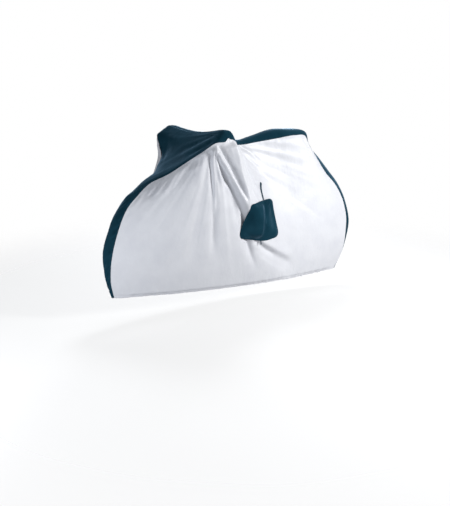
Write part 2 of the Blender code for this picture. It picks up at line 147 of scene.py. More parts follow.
# The main folds, seen from the side: the solids' own, lower where the sheet's fine creases take over
FOLD = "x1 z1 x2 z2 bow width1 width2 height"
NEAR_FOLDS = in_metres(FOLD, "", {
    "front_swell": (-400, 940, -560, 300, 0, 30, 70, 4),
    "long_trough": (-354, 985, -405, 240, 15, 22, 45, -3.6),
    "second_trough": (-338, 985, -262, 230, 0, 20, 36, -3),
    "inner_ridge": (-318, 975, -160, 250, 0, 20, 42, 4.2),
    "main_trough": (-312, 985, 45, 215, -4, 23, 42, -12),
    "band": (-262, 1010, -85, 690, 0, 26, 34, -2),
    "grip_ridge": (-198, 1020, 0, 440, 6, 26, 46, 18),
    "low_ridge": (10, 430, 320, 265, 0, 26, 42, 8),
    "low_trough": (-10, 395, 370, 205, 0, 26, 40, -8),
    "seam_pull": (-507, 862, -620, 670, 0, 26, 34, 1),
    "saddle_drop": (392, 1010, 440, 700, 0, 26, 40, 4),
    "saddle_hollow": (190, 990, 330, 560, 0, 40, 90, -3.6),
})
FAR_FOLDS = in_metres(FOLD, "", {
    "front_swell": (-480, 820, -600, 300, 0, 40, 70, 10),
    "long_trough": (-420, 985, -470, 240, 10, 22, 48, -8),
    "second_trough": (-390, 990, -300, 240, 0, 22, 38, -10),
    "inner_ridge": (-370, 990, -210, 250, 0, 22, 44, 8),
    "main_trough": (-350, 1000, -50, 215, -12, 26, 44, -16),
    "main_ridge": (-325, 1005, -30, 520, 0, 24, 36, 10),
    "grip_ridge": (-275, 1020, 60, 400, 10, 28, 50, 18),
    "low_trough": (60, 560, 420, 215, 30, 28, 48, -10),
    "seam_pull": (-550, 835, -660, 640, 0, 26, 36, -5),
    "saddle_drop": (380, 1010, 460, 640, 0, 28, 46, 5),
})
FOLD_POINTS = 25
FOLD_START, FOLD_END = 0.1, 0.3  # shares of its length over which a fold rises and dies away
SEAM_FADE = 0.030

# The creases of the panels, seen from the side, in x and z
NEAR_CREASES = creases({
    "main_ridge": (28, 14.5, 23, 2.0, 1.6, -332, 1012, -317, 985, -299, 959, -269, 917, -235, 863, -201, 810,
     -168, 757, -133, 694, -90, 610),
    "main_trough": (-18.5, 9, 17, 1.6, 1, -328, 997, -320, 965, -303, 920, -276, 870, -244, 820, -205, 774,
     -168, 715, -132, 654, -90, 550, -57, 423, -29, 355, 32, 235),
    "left_ridge": (13.1, 4.5, 10, 1.6, 1.6, -336, 1000, -334, 947, -327, 893, -319, 838, -308, 760,
     -296, 600),
    "left_trough": (-11, 6.5, 20, 1.7, 1, -336, 997, -344, 955, -341, 907, -334, 853, -320, 770, -306, 650,
     -293, 509, -275, 341),
    "inner_ridge_1": (11.5, 4.5, 8, 1.5, 1.5, -326, 989, -314, 946, -301, 903, -288, 858, -266, 780),
    "inner_ridge_2": (9.5, 4, 8, 1.6, 1.4, -325, 965, -313, 881, -299, 804, -284, 700),
    "inner_nick": (-7.5, 3, 6, 1.6, 1, -326, 978, -322, 936, -312, 881, -296, 798),
    "trough_line": (2.5, 4, 6, 1.6, 1, -306, 945, -285, 905, -262, 860),
    "second_nick": (-5.5, 6, 8, 1.7, 1, -236, 884, -216, 862, -172, 794, -133, 738, -88, 670),
    "second_ridge": (5, 6, 7, 1.6, 1, -223, 877, -200, 848, -155, 780, -108, 710, -70, 650),
    "band": (-11, 9.5, 11.5, 2, 0.55, -318, 1010, -300, 980, -268, 935, -233, 885, -196, 828, -159, 767,
     -122, 705),
    "band_line": (1.5, 4, 6, 1.6, 1, -262, 1020, -240, 975, -213, 920, -175, 850),
    "grip_ridge": (33, 26, 14, 1.6, 2.0, -232, 1034, -216, 996, -205, 958, -189, 914, -170, 863, -150, 817,
     -128, 765, -110, 710, -80, 600),
    "right_nick_1": (-13.1, 4, 7, 1.5, 1, -150, 975, -85, 911, -46, 858, -14, 808, 22, 765, 55, 735),
    "right_nick_2": (-11.2, 4, 8, 1.5, 1, -90, 985, -10, 918, 47, 875, 105, 825),
    "right_nick_3": (-9, 4, 8, 1.5, 1, -50, 990, 7, 957, 40, 932, 95, 885),
    "right_nick_4": (-9.2, 4, 6, 1.6, 1, -162, 950, -139, 886, -115, 828, -76, 745),
    "right_nick_5": (-9.4, 4, 6, 1.6, 1, -70, 845, -40, 790, -5, 715),
    "right_ridge": (3.3, 5, 8, 1.6, 1, -130, 945, -80, 860, -30, 770),
    "soft_trough": (-5.5, 10, 34, 1.8, 1, -357, 968, -362, 900, -366, 840, -390, 690, -414, 520, -420, 358,
     -413, 250),
    "soft_ridge": (4.2, 12, 34, 1.9, 1, -350, 900, -344, 773, -352, 633, -350, 487, -346, 330),
    "top_left_fall": (6, 10, 20, 1.8, 1, -372, 985, -383, 909, -400, 780),
    "low_ridge": (8, 12, 26, 1.6, 0.8, 18, 436, 40, 425, 103, 389, 212, 330, 330, 262),
    "low_trough": (-9, 18, 30, 1.6, 1, 4, 432, 55, 393, 135, 341, 232, 290, 330, 245),
    "low_hollow": (-15, 15, 24, 1.7, 1, -20, 445, 30, 410, 100, 364, 185, 318),
    "low_crease": (-2.6, 10, 16, 1.8, 1, 30, 345, 167, 270, 287, 215),
    "hood_hollow": (-2.5, 17, 17, 2.0, 0.55, -372, 966, -424, 900, -497, 834, -580, 782),
    "pull_1": (5.8, 6, 8, 1.5, 1.5, -514, 862, -553, 802, -612, 731),
    "pull_1_nick": (-6, 4.5, 6, 1.5, 1, -526, 856, -561, 812, -602, 765, -645, 720),
    "pull_2": (5.8, 6, 9.5, 1.5, 1.6, -473, 888, -504, 842, -535, 790, -570, 733),
    "pull_3": (5, 5.5, 8.5, 1.5, 1.5, -452, 902, -484, 848, -530, 770),
    "pull_4": (-5, 4.5, 6, 1.6, 1, -424, 926, -441, 885),
    "pull_5": (-5.4, 4.5, 6, 1.6, 1, -405, 945, -411, 898),
    "pull_6": (5, 5.5, 8, 1.6, 1.5, -396, 955, -405, 905, -420, 860),
    "pull_7": (-4.4, 5, 7, 1.5, 1, -560, 832, -614, 778, -665, 722),
    "pull_8": (4.8, 5, 8, 1.5, 1.4, -548, 838, -592, 787, -640, 735),
    "pull_9": (-2.6, 6, 10, 1.5, 1, -620, 790, -676, 739, -725, 692),
    "pull_10": (3.6, 4.5, 6.5, 1.5, 1.3, -655, 745, -700, 690, -745, 610),
    "saddle_pull_1": (-4.5, 5, 12, 1.6, 1, 389, 1027, 423, 808),
    "saddle_pull_2": (-3.7, 5, 6, 1.6, 1, 387, 1024, 344, 995),
    "saddle_pull_3": (-3.3, 5, 10, 1.6, 1, 395, 1020, 470, 860),
    "rear_crease": (-2.1, 12, 16, 2, 1, 251, 696, 613, 471),
    "front_trough": (-1.5, 30, 50, 2, 1, -470, 800, -520, 280),
})
FAR_CREASES = creases({
    "left_trough": (-8, 8, 20, 1.6, 1, -415, 985, -400, 780, -385, 560, -350, 300),
    "main_trough": (-10, 8, 22, 1.6, 1, -360, 1000, -290, 820, -200, 600, -60, 260),
    "main_ridge": (6, 6, 12, 1.4, 1, -335, 990, -220, 800, -80, 580),
    "grip_ridge": (7, 8, 18, 1.5, 1, -270, 1010, -160, 800, -10, 500),
    "left_ridge": (5, 6, 10, 1.4, 1, -395, 990, -370, 820, -330, 600),
})
CREASE_START, CREASE_END = 0.06, 0.25  # shares of its length over which a crease rises and dies away
CREASE_SOFTEN = 2  # passes that round the creases off by a cell or so
CREASE_SEAM_FADE = 0.007  # creases run up to this close to a seam

# Creases that fan out from a point: spokes in half a turn, rings a metre, the distance from the point
# over which they start and the one over which they die away
RAY = "x z spokes rings height start reach seed"
RAY_PLAIN = "spokes rings seed"
NEAR_RAYS = in_metres(RAY, RAY_PLAIN, {
    "grip": (-318, 1055, 54, 2.2, 4.6, 300, 850, 3),
    "saddle": (395, 1075, 44, 2.4, 1.2, 200, 600, 5),
    "front": (-900, 900, 30, 2.0, 1.8, 200, 900, 7),
})
FAR_RAYS = in_metres(RAY, RAY_PLAIN, {
    "grip": (-380, 1055, 50, 2.2, 3.4, 300, 850, 13),
    "saddle": (400, 1075, 40, 2.4, 1.4, 200, 600, 15),
})
RAY_BROAD, RAY_FINE = 0.65, 0.35  # shares of the broad creases and of the fine ones between them
RAY_FINE_SPOKES, RAY_FINE_RINGS = 2.2, 1.6

# The hood and the front strip of the gusset. Hood creases are seen from above, in x and y
HOOD_CREASES = creases({
    "near_corner_1": (-4, 6, 14, 1.6, 1, -330, -270, -420, -120),
    "near_corner_2": (4, 6, 14, 1.5, 1, -315, -250, -440, -60),
    "near_corner_3": (-3, 6, 14, 1.6, 1, -300, -230, -430, 20),
    "far_corner_1": (-3, 6, 16, 1.6, 1, -350, 250, -470, 80),
    "far_corner_2": (3, 6, 16, 1.6, 1, -370, 250, -500, 60),
})
HOOD_RAYS = in_metres(RAY, RAY_PLAIN, {
    "near_grip": (-265, 315, 46, 3.0, 4.6, 140, 550, 23),
    "far_grip": (-330, -330, 40, 3.0, 3.6, 140, 450, 27),
})
STRIP_END, STRIP_FADE = -0.640, 0.080  # the front strip's ripples fade out from here to the hood
STRIP_SLANT = -1.3  # rise of a ripple for each metre across
STRIP_PITCH, STRIP_BREAK = 0.022, 0.050
STRIP_FINE, STRIP_FINE_SHARE = 2.1, 0.5
STRIP_RIPPLE = 0.0075
STRIP_FAR = 0.2  # the ripples of the far half, next to those of the near one
STRIP_LEAN = 0.8  # below 1, the ripples are highest nearer to the seams than to the crown

# Where the cloth stands out from the solids' smooth surface, or in from it: each moves the points near a
# place. One that moves a single cloth fades out at that cloth's seams
LUMPS = in_metres("x y z reach dx dy dz cloths", "cloths", {
    "hood_side": (-455, 185, 925, 80, 18, -8, 0, "gusset far"),
    "hood_neck": (-545, 95, 840, 70, 20, -10, 0, "gusset far"),
    "hood_corner": (-400, 280, 1045, 50, 4, 0, 14, "gusset far"),
    "hood_peak": (-340, 250, 1090, 80, 0, 0, -8, "gusset"),
    "hood_back": (-440, 255, 900, 100, -8, 6, 0, "far"),
    "hood_back_low": (-520, 170, 815, 90, 10, 0, 0, "far"),
    "near_grip": (-240, -280, 1060, 60, -4, 0, -5, "gusset near"),
    "front_bend": (-712, 0, 728, 45, -7, 0, 9, "gusset"),
    "grip_step": (-257, -305, 1036, 13, 0, 0, 15, "gusset near"),
    "rear_crown": (868, -20, 430, 130, 14, -4, 0, "gusset"),
    "rear_seam": (800, -53, 430, 130, -15, 0, 0, "gusset near"),
    "saddle_back": (490, 0, 1010, 55, -18, 0, -8, "gusset"),
    "rear_top": (530, 0, 955, 60, -10, 0, -6, "gusset"),
    "front_foot": (-850, 0, 185, 50, 8, 0, 0, "gusset near far"),
})
LUMP_FADE = 0.012

Pucker = namedtuple("Pucker", "pitch reach height")
SEAM_PUCKER = Pucker(0.011, 0.024, 0.0026)
GUSSET_PUCKER = Pucker(0.012, 0.014, 0.0012)
HEM_GATHER = Pucker(0.013, 0.035, 0.0035)
PUCKER_COARSE = 2.3  # how much longer the coarse puckers are than the fine ones
PUCKER_PATCH, PUCKER_MEAN, PUCKER_SPREAD = 6, 0.55, 0.45  # some stretches of an edge pucker more
SEAM_STITCH_LINE = 0.004
HEM_CORNER = 0.030
HEM_BAND = 0.012  # height of the hem's stitched line above its edge
HEM_CREASE, HEM_CREASE_WIDTH = 0.0014, 0.003
ROLL_RADIUS = 0.0038  # the elastic in the hem
ROLL_TURN = math.radians(250)
ROLL_ROWS = 8
ROLL_BLEND = 6

# The pouch, as its solid has it
POUCH_CORNERS = in_metres("x z cut", "", {
    "top_front": (-83, 673, 22),
    "top_rear": (149, 669, 34),
    "bottom_rear": (191, 434, 50),
    "bottom_middle": (50, 432, 50),
    "bottom_front": (-131, 470, 36),
})
CORNER_POINTS = 9
POUCH_POINTS = 168
POUCH_RINGS = 30
POUCH_MIDDLE, POUCH_CROWDING = 0.06, 1.35  # the innermost ring's share, and how the rings close up outwards
POUCH_LAY = 0.0008  # gap to the panel
POUCH_DRAPE = 220  # passes that let it bridge the creases below
POUCH_RIM, POUCH_THINNEST = 0.0026, 0.8
POUCH_CROWN = 0.0105
POUCH_SHOULDER = 0.040
POUCH_SEAM, POUCH_SEAM_WIDTH, POUCH_SEAM_DEPTH = 0.008, 0.0030, 0.0012  # stitched inside its edge
POUCH_PUCKER, POUCH_PUCKERS, POUCH_PUCKER_LENGTH, POUCH_PUCKER_REACH = 0.0009, 46, 0.02, 0.012
POUCH_EDGE_ROWS = 2
POUCH_CREASES = creases({
    "left_crest": (19, 36, 46, 2.0, 1.4, 10, 660, 6, 560, -6, 440),
    "strap_crease": (-2.5, 12, 18, 1.9, 1, 52, 664, 56, 560, 42, 450),
    "strap_ridge": (4.5, 20, 30, 1.9, 0.65, 76, 668, 82, 560, 72, 450),
    "right_hollow": (-8, 18, 22, 1.9, 1.5, 112, 650, 138, 560, 158, 470),
    "corner_fold": (-4.5, 10, 14, 1.8, 1, -100, 500, -60, 480, -30, 440),
})

# The tapes: the line in x and z, the width, the cells along and across, and whether it hangs free
STRAP = (((0.079, 0.768), (0.068, 0.735), (0.066, 0.703), (0.066, 0.6711)), 0.018, 60, 10, False)
TAIL = (((0.027, 0.4367), (0.028, 0.4250), (0.029, 0.4130)), 0.006, 16, 8, True)
TAPE_THICK = 0.0022
TAPE_LAY = 0.0005
TAPE_DRAPE = 10
TAPE_RIB, TAPE_RIB_PITCH = 0.00012, 0.0022
TAPE_TIP = 0.985  # keeps the round end's first row from closing to a point
TAPE_EDGE = 0.12
TAPE_SQUARE, RIB_SQUARE = 6, 4  # how flat the tape and its ribs stay up to their edges

SEAM_STITCHES = 0.005  # from the seam
STITCH_PITCH, STITCH_LENGTH, STITCH_WIDTH, STITCH_THICK = 0.0042, 0.0030, 0.0009, 0.0005
STITCH_SHOULDER = 0.55  # share of its half length that is full
STITCH_TOP, STITCH_SIDE, STITCH_TIP = 0.75, 0.2, 0.3  # shares of its thickness, above the cloth and below

# Stage
CAMERA_PLACE = (-2.1545, -3.0244, 0.1933)
CAMERA_YAW, CAMERA_PITCH = 29.61, 14.91
SENSOR, LENS = 36, 41.81
FLOOR_RADIUS = 3.2
FLOOR_FADE = 1.3  # the floor fades out from here to its edge
FLOOR_DARK, FLOOR_LIGHT = (0.60, 0.60, 0.61), (0.63, 0.63, 0.64)
FLOOR_GLOW = 0.20
FLOOR_SOLID = 0.4  # the rest of it shows the backdrop
LIGHT_AIM = (-0.3, 0.0, -0.45)
Lamp = namedtuple("Lamp", "place energy size colour")
LAMPS = {
    "key": Lamp((1.20, -2.45, 0.28), 119, 0.5, (1.0, 0.995, 0.98)),
    "top": Lamp((0.20, 0.90, 1.90), 58, 0.8, (0.95, 0.97, 1.0)),
    "front": Lamp((-2.70, -0.50, -0.85), 29, 0.8, (0.93, 0.96, 1.0)),
    "fill": Lamp((-2.40, -2.20, -0.10), 10, 1.2, (0.93, 0.96, 1.0)),
    "back": Lamp((1.30, 3.00, 0.40), 90, 1.2, (0.95, 0.97, 1.0)),
}
SURROUND, SURROUND_LIGHT = (0.90, 0.94, 1.0, 1), 0.15
BACKDROP = (1, 1, 1, 1)

Cloth = namedtuple("Cloth", "dark base light sheen tint specular metallic crinkle")
SILVER = Cloth(
    (0.475, 0.485, 0.525), (0.505, 0.515, 0.55), (0.53, 0.54, 0.575), 0.05, (1, 1, 1, 1), 0.3, 0.05, 0.0045
)
NAVY = Cloth(
    (0.004, 0.0205, 0.033), (0.0056, 0.027, 0.0425), (0.009, 0.0355, 0.0545),
    0.44, (0.4, 0.62, 0.85, 1), 0.0, 0.0, 0.003,
)
CLOTH_ROUGHNESS, ROUGHNESS_SPREAD = 0.50, 0.16
COLOUR_STOPS, WEBBING_STOPS = (0.25, 0.5, 0.78), (0.3, 0.7)
THREAD_STOPS, FLOOR_STOPS = (0.35, 0.65), (0.3, 0.7)
# Each noise: its scale, its detail, and its roughness
COLOUR_NOISE, WORN_NOISE, WEBBING_NOISE, FLOOR_NOISE = (9.0, 5.0), (34.0, 3.0), (120.0, 3.0), (0.8, 2.0)
CRINKLE_NOISE, FINE_CRINKLE_NOISE = ((24.0, 24.0, 17.0), 4.0, 0.6), ((85.0, 85.0, 75.0), 3.0, 0.6)
TWIST_NOISE = ((900.0, 900.0, 900.0), 2.0)
CRINKLE_STRENGTH, FINE_CRINKLE = 0.5, 0.25
WEAVE_PITCH, WEAVE_BUMP, RIB_BUMP, TWIST_BUMP = 0.0009, (0.0001, 0.35), (0.0003, 0.6), (0.0002, 0.5)
WEBBING_DARK, WEBBING_LIGHT = (0.006, 0.020, 0.032), (0.012, 0.036, 0.055)
WEBBING_TINT = (0.25, 0.55, 0.85, 1)
NAVY_THREAD = (0.010, 0.034, 0.052), (0.030, 0.075, 0.105)
SILVER_THREAD = (0.42, 0.44, 0.49), (0.62, 0.64, 0.70)


def ease(t):
    """A smooth step from 0 to 1."""
    t = np.clip(t, 0, 1)
    return t * t * (3 - 2 * t)


def size(vectors):
    return np.linalg.norm(vectors, axis=-1)


def unit(vectors):
    return vectors / np.linalg.norm(vectors, axis=-1, keepdims=True)


def spline(knots, values, at):
    """A smooth curve through the values at the knots, flat where they turn back."""
    knots, values = np.asarray(knots, float), np.asarray(values, float)
    rise = np.diff(values) / np.diff(knots)
    slope = np.concatenate([rise[:1], (rise[1:] + rise[:-1]) / 2, rise[-1:]])
    slope[1:-1][rise[1:] * rise[:-1] <= 0] = 0
    i = np.clip(np.searchsorted(knots, at, side="right") - 1, 0, len(knots) - 2)
    span = knots[i + 1] - knots[i]
    t = (at - knots[i]) / span
    low = values[i] * (1 + 2 * t) * (1 - t) ** 2 + span * slope[i] * t * (1 - t) ** 2
    return low + values[i + 1] * t**2 * (3 - 2 * t) - span * slope[i + 1] * t**2 * (1 - t)


def cubic(values, at):
    """Smooth values between those of a row, at places counted in its steps, along the first axis."""
    count = len(values)
    system, bend = np.eye(count), np.zeros_like(values)
    for i in range(1, count - 1):
        system[i, i - 1 : i + 2] = (1, 4, 1)
        bend[i] = 6 * (values[i - 1] - 2 * values[i] + values[i + 1])
    bend = np.linalg.solve(system, bend.reshape(count, -1)).reshape(values.shape)
    i = np.clip(np.floor(at).astype(int), 0, count - 2)
    t = (at - i).reshape((-1,) + (1,) * (values.ndim - 1))
    flat = (1 - t) * values[i] + t * values[i + 1]
    return flat + ((1 - t) ** 3 - (1 - t)) * bend[i] / 6 + (t**3 - t) * bend[i + 1] / 6


def noise(seed, u, v):
    """Smooth noise from -1 to 1, on a lattice whose cells are 1 wide."""
    lattice = np.random.default_rng(seed).uniform(-1, 1, (LATTICE, LATTICE))
    i, j = np.floor(u).astype(int), np.floor(v).astype(int)
    s, t = ease(u - i), ease(v - j)
    left, right, low, high = i % LATTICE, (i + 1) % LATTICE, j % LATTICE, (j + 1) % LATTICE
    low = lattice[left, low] * (1 - s) + lattice[right, low] * s
    high = lattice[left, high] * (1 - s) + lattice[right, high] * s
    return low * (1 - t) + high * t


def lengths(line):
    """A line's length up to each of its points."""
    return np.concatenate([[0], np.cumsum(np.linalg.norm(np.diff(line, axis=0), axis=1))])


def share_along(line):
    """How far along a line each of its points is, from 0 to 1."""
    return lengths(line) / size(np.diff(line, axis=0)).sum()


class Stations:
    """The sections read along the gusset: at the coarse stations of its solid, or at fine ones."""

    def __init__(self, fine):
        rows, names = list(SECTIONS.values()), list(SECTIONS)
        spans = size(np.diff([(s.seam_x, s.seam_z) for s in rows], axis=0)) + SPAN_PAD
        knots = np.concatenate([[0], np.cumsum(spans)])
        starts = [sum(s.steps for s in rows[:i]) for i in range(len(rows))]
        cuts = [s.cuts if fine else 1 for s in rows for _ in range(s.steps)]
        self.place = np.concatenate(
            [np.arange(n) / n + k for k, n in enumerate(cuts)] + [[float(starts[-1])]]
        )
        at = np.interp(self.place, range(starts[-1] + 1), np.interp(range(starts[-1] + 1), starts, knots))
        self.columns = {f: spline(knots, [getattr(s, f) for s in rows], at) for f in COLUMNS.split()}
        first, last = starts[names.index(FIRST_TOP)], starts[names.index(LAST_TOP)]
        self.first, self.last = (int(np.searchsorted(self.place, k)) for k in (first, last))
        top = [(k, s.hem_x) for k, s in zip(knots, rows) if s.hem_x is not None]
        self.hem_x = spline(*zip(*top), at[self.first : self.last + 1])
        self.rows = self.place[: self.first + 1]
        self.top = self.place[self.first : self.last + 1] - first


def gusset_grid(columns, across):
    """Points of the gusset, one row a station, from the near seam to the far seam."""
    share = np.sin(np.linspace(-1, 1, across + 1) * math.pi / 2)[None, :]
    c = {name: column[:, None] for name, column in columns.items()}
    y = c["half"] * share
    lift = 1 - np.abs(share) ** c["square"]
    x = c["seam_x"] + (c["crown_x"] - c["seam_x"]) * lift - c["turn"] * BAR_TURN * y
    z = c["seam_z"] + (c["crown_z"] - c["seam_z"]) * lift - c["sag"] * (1 - share**2)
    z = z + c["turn"] * BAR_RISE * y
    return np.stack([x, np.broadcast_to(y, x.shape), z], axis=-1)


def hem_line(front, rear, hem_x, side):
    """The hem from the front corner to the rear one."""
    s = (hem_x - hem_x[0]) / (hem_x[-1] - hem_x[0])
    bulge = np.sin(math.pi * s) ** HEM_BULGE
    y = front[1] + (rear[1] - front[1]) * s + side * HEM_OUT * bulge
    z = front[2] + (rear[2] - front[2]) * s + HEM_RISE * np.sin(math.pi * s)
    x = front[0] + (rear[0] - front[0]) * s
    return np.stack([x, y, z], axis=-1)


def patch(seam, stations, side):
    """A surface between a panel's four edges, one row a height, from the hem to the top edge."""
    first, last = stations.first, stations.last
    front, top, rear = seam[: first + 1], seam[first : last + 1], seam[last:][::-1]
    hem = hem_line(front[0], rear[0], stations.hem_x, side)
    v = ((share_along(front) + share_along(rear)) / 2)[:, None, None]
    u = ((share_along(top) + share_along(hem)) / 2)[None, :, None]
    edges = (1 - v) * hem[None] + v * top[None] + (1 - u) * front[:, None] + u * rear[:, None]
    edges = edges - (1 - u) * (1 - v) * hem[0] - u * (1 - v) * hem[-1]
    return edges - (1 - u) * v * top[0] - u * v * top[-1]


def panel_grid(coarse, fine, side):
    """A side panel's fine points: its patch, moved by as much as the solid's coarse one is rounded off."""
    edge = 0 if side < 0 else -1
    flat = patch(gusset_grid(coarse.columns, 2)[:, edge], coarse, side)
    grid = flat.copy()
    for _ in range(SMOOTHING):
        inner = (grid[:-2, 1:-1] + grid[2:, 1:-1] + grid[1:-1, :-2] + grid[1:-1, 2:]) / 4
        grid[1:-1, 1:-1] = (grid[1:-1, 1:-1] + inner) / 2
    moved = cubic(grid - flat, fine.rows)
    moved = cubic(moved.swapaxes(0, 1), fine.top).swapaxes(0, 1)
    return patch(gusset_grid(fine.columns, 2)[:, edge], fine, side) + moved


def area_vectors(grid):
    """For each point of a grid, the sum of its cells' area vectors."""
    cells = np.cross(grid[1:, 1:] - grid[:-1, :-1], grid[:-1, 1:] - grid[1:, :-1])
    total = np.zeros_like(grid)
    total[:-1, :-1] += cells
    total[1:, :-1] += cells
    total[:-1, 1:] += cells
    total[1:, 1:] += cells
    return total


def near_line(points, line):
    """How far each point is from a line, how far along the line its nearest place is, from 0 to 1, and
    whether it lies on the right of a line that runs down."""
    along = share_along(line)
    best, share, right = np.full(points.shape[:-1], np.inf), 0, False
    for k, step in enumerate(np.diff(line, axis=0)):
        gap = points - line[k]
        t = np.clip((gap @ step) / (step @ step), 0, 1)
        away = size(gap - t[..., None] * step)
        nearer = away < best
        best = np.where(nearer, away, best)
        share = np.where(nearer, along[k] + t * (along[k + 1] - along[k]), share)
        right = np.where(nearer, step[0] * gap[..., 1] - step[1] * gap[..., 0] > 0, right)
    return best, share, right


def crease_height(points, crease, start=CREASE_START, end=CREASE_END):
    """How far a crease lifts each point, in the plane of its line."""
    away, along, right = near_line(points, crease.line)
    width = crease.width1 + (crease.width2 - crease.width1) * along
    width = np.where(right, width / crease.lean, width * crease.lean)
    fade = ease(along / start) * ease((1 - along) / end)
    return crease.height * fade * np.exp(-((away / width) ** crease.peak))


def fold_height(points, fold):
    """How far a main fold lifts each point, seen from the side."""
    t = np.linspace(0, 1, FOLD_POINTS)[:, None]
    line = np.array([fold.x1, fold.z1]) * (1 - t) + np.array([fold.x2, fold.z2]) * t
    line[:, 0] += fold.bow * np.sin(math.pi * t[:, 0])
    fold = Crease(fold.height, fold.width1, fold.width2, 2, 1, line)
    return crease_height(points, fold, FOLD_START, FOLD_END)


def pleats(away, along, pucker, seed):
    """Small uneven puckers that run away from an edge: along is the place on it, away the distance."""
    fine = noise(seed, along / pucker.pitch, away / pucker.reach)
    coarse = noise(seed + 1, along / (pucker.pitch * PUCKER_COARSE), away / pucker.reach)
    patchy = noise(seed + 2, along / (pucker.pitch * PUCKER_PATCH), along * 0)
    patchy = PUCKER_MEAN + PUCKER_SPREAD * patchy
    return pucker.height * patchy * (fine + coarse) * np.exp(-away / pucker.reach)


def rays(points, ray):
    """Uneven creases that fan out from a point."""
    from_centre = points - np.array([ray.x, ray.z])
    angle = np.arctan2(from_centre[..., 0], -from_centre[..., 1]) / math.pi * ray.spokes
    radius = size(from_centre)
    ring = radius * ray.rings
    height = RAY_BROAD * noise(ray.seed, angle, ring)
    height += RAY_FINE * noise(ray.seed + 1, angle * RAY_FINE_SPOKES, ring * RAY_FINE_RINGS)
    rise = ease(radius / ray.start) * (1 - ease((radius - ray.start) / ray.reach))
    return ray.height * height * rise


def along_rows(grid):
    """The distance of each point from the first one of its row."""
    steps = size(np.diff(grid, axis=1))
    return np.concatenate([np.zeros((len(grid), 1)), np.cumsum(steps, axis=1)], axis=1)


def nearest_seam(grid, seam):
    """How far each point of a grid is from the seam, and the seam's length up to its nearest place."""
    length = lengths(seam)
    away, along = np.empty(grid.shape[:2]), np.empty(grid.shape[:2])
    for j, row in enumerate(grid):
        gap = size(row[:, None] - seam[None])
        away[j] = gap.min(1)
        along[j] = length[gap.argmin(1)]
    return away, along


def with_lumps(grid, cloth, away):
    """A cloth's grid with the lumps that move it, where away is the distance from its seams."""
    moved = grid.copy()
    for lump in LUMPS.values():
        if cloth in lump.cloths.split():
            gap = size(grid - (lump.x, lump.y, lump.z)) / lump.reach
            share = np.exp(-(gap**2))
            if lump.cloths == cloth:
                share = share * ease(away / LUMP_FADE)
            moved += share[..., None] * np.array([lump.dx, lump.dy, lump.dz])
    return moved


def dress_panel(base, folds, creases, ray_rows, seam, side, seed):
    """A panel's grid with its folds, creases, puckers and gathers."""
    away, _ = nearest_seam(base, seam)
    base = with_lumps(base, "near" if side < 0 else "far", away)
    seen = base[..., [0, 2]]
    outward = side * unit(area_vectors(base))
    away, along = nearest_seam(base, seam)
    height = sum(fold_height(seen, f) for f in folds.values()) * ease(away / SEAM_FADE)
    fine = sum(crease_height(seen, c) for c in creases.values())
    fine = fine + sum(rays(seen, r) for r in ray_rows.values())
    height = height + fine * ease(away / CREASE_SEAM_FADE)
    for _ in range(CREASE_SOFTEN):
        for h in (height, height.T):
            h[1:-1] = (h[:-2] + 2 * h[1:-1] + h[2:]) / 4
    height += pleats(away, along, SEAM_PUCKER, seed) * ease(away / SEAM_STITCH_LINE)
    from_hem = along_rows(base.swapaxes(0, 1)).T
    on_hem = along_rows(base)[:1] + 0 * from_hem
    calm = ease(np.minimum(on_hem, on_hem[:, -1:] - on_hem) / HEM_CORNER)
    gathers = pleats(from_hem, on_hem, HEM_GATHER, seed + 10)
    crease = -HEM_CREASE * np.exp(-(((from_hem - HEM_BAND) / HEM_CREASE_WIDTH) ** 2))
    height += (gathers + crease) * calm
    grid = base + outward * height[..., None]
    s = np.linspace(0, 1, grid.shape[1])
    drawn = HEM_CURL * ease(np.minimum(s, 1 - s) / HEM_FADE)
    grid[..., 1] -= side * drawn * (1 - ease(from_hem / HEM_CURL_HEIGHT))
    lower = HEM_DROP * np.sin(math.pi * s) ** HEM_BULGE
    grid[..., 2] -= lower * (1 - ease(from_hem / HEM_DROP_HEIGHT))
    return grid


def dress_gusset(base, seed):
    """The gusset's grid with the ripples of the front strip, the fan over the hood and the puckers."""
    length = along_rows(base)
    base = with_lumps(base, "gusset", np.minimum(length, length[:, -1:] - length))
    outward = unit(area_vectors(base))
    length = along_rows(base)
    away = np.minimum(length, length[:, -1:] - length)
    along = along_rows(base.swapaxes(0, 1)).T
    from_above = base[..., [0, 1]]
    height = sum(crease_height(from_above, c) for c in HOOD_CREASES.values())
    height = height + sum(rays(from_above * (1, -1), r) for r in HOOD_RAYS.values())
    strip = 1 - ease((base[..., 0] - STRIP_END) / STRIP_FADE)
    slant = (base[..., 2] - STRIP_SLANT * base[..., 1]) / STRIP_PITCH
    ripple = noise(seed, slant, base[..., 1] / STRIP_BREAK)
    ripple = ripple + STRIP_FINE_SHARE * noise(seed + 1, slant * STRIP_FINE, slant * 0)
    half = np.minimum(away / (length[:, -1:] / 2), 1)
    share = np.where(base[..., 1] < 0, 1, STRIP_FAR)
    height = height + STRIP_RIPPLE * strip * share * ripple * np.sin(math.pi * half**STRIP_LEAN)
    height = height * ease(away / CREASE_SEAM_FADE)
    height += pleats(away, along, GUSSET_PUCKER, seed + 3) * ease(away / SEAM_STITCH_LINE)
    return base + outward * height[..., None]


def seam_cells(stations):
    """The row and the column of a panel's grid that meet the gusset at each of its stations."""
    at = np.arange(len(stations.place))
    rows = np.minimum(np.minimum(at, stations.first), at[::-1])
    return rows, np.clip(at - stations.first, 0, stations.last - stations.first)


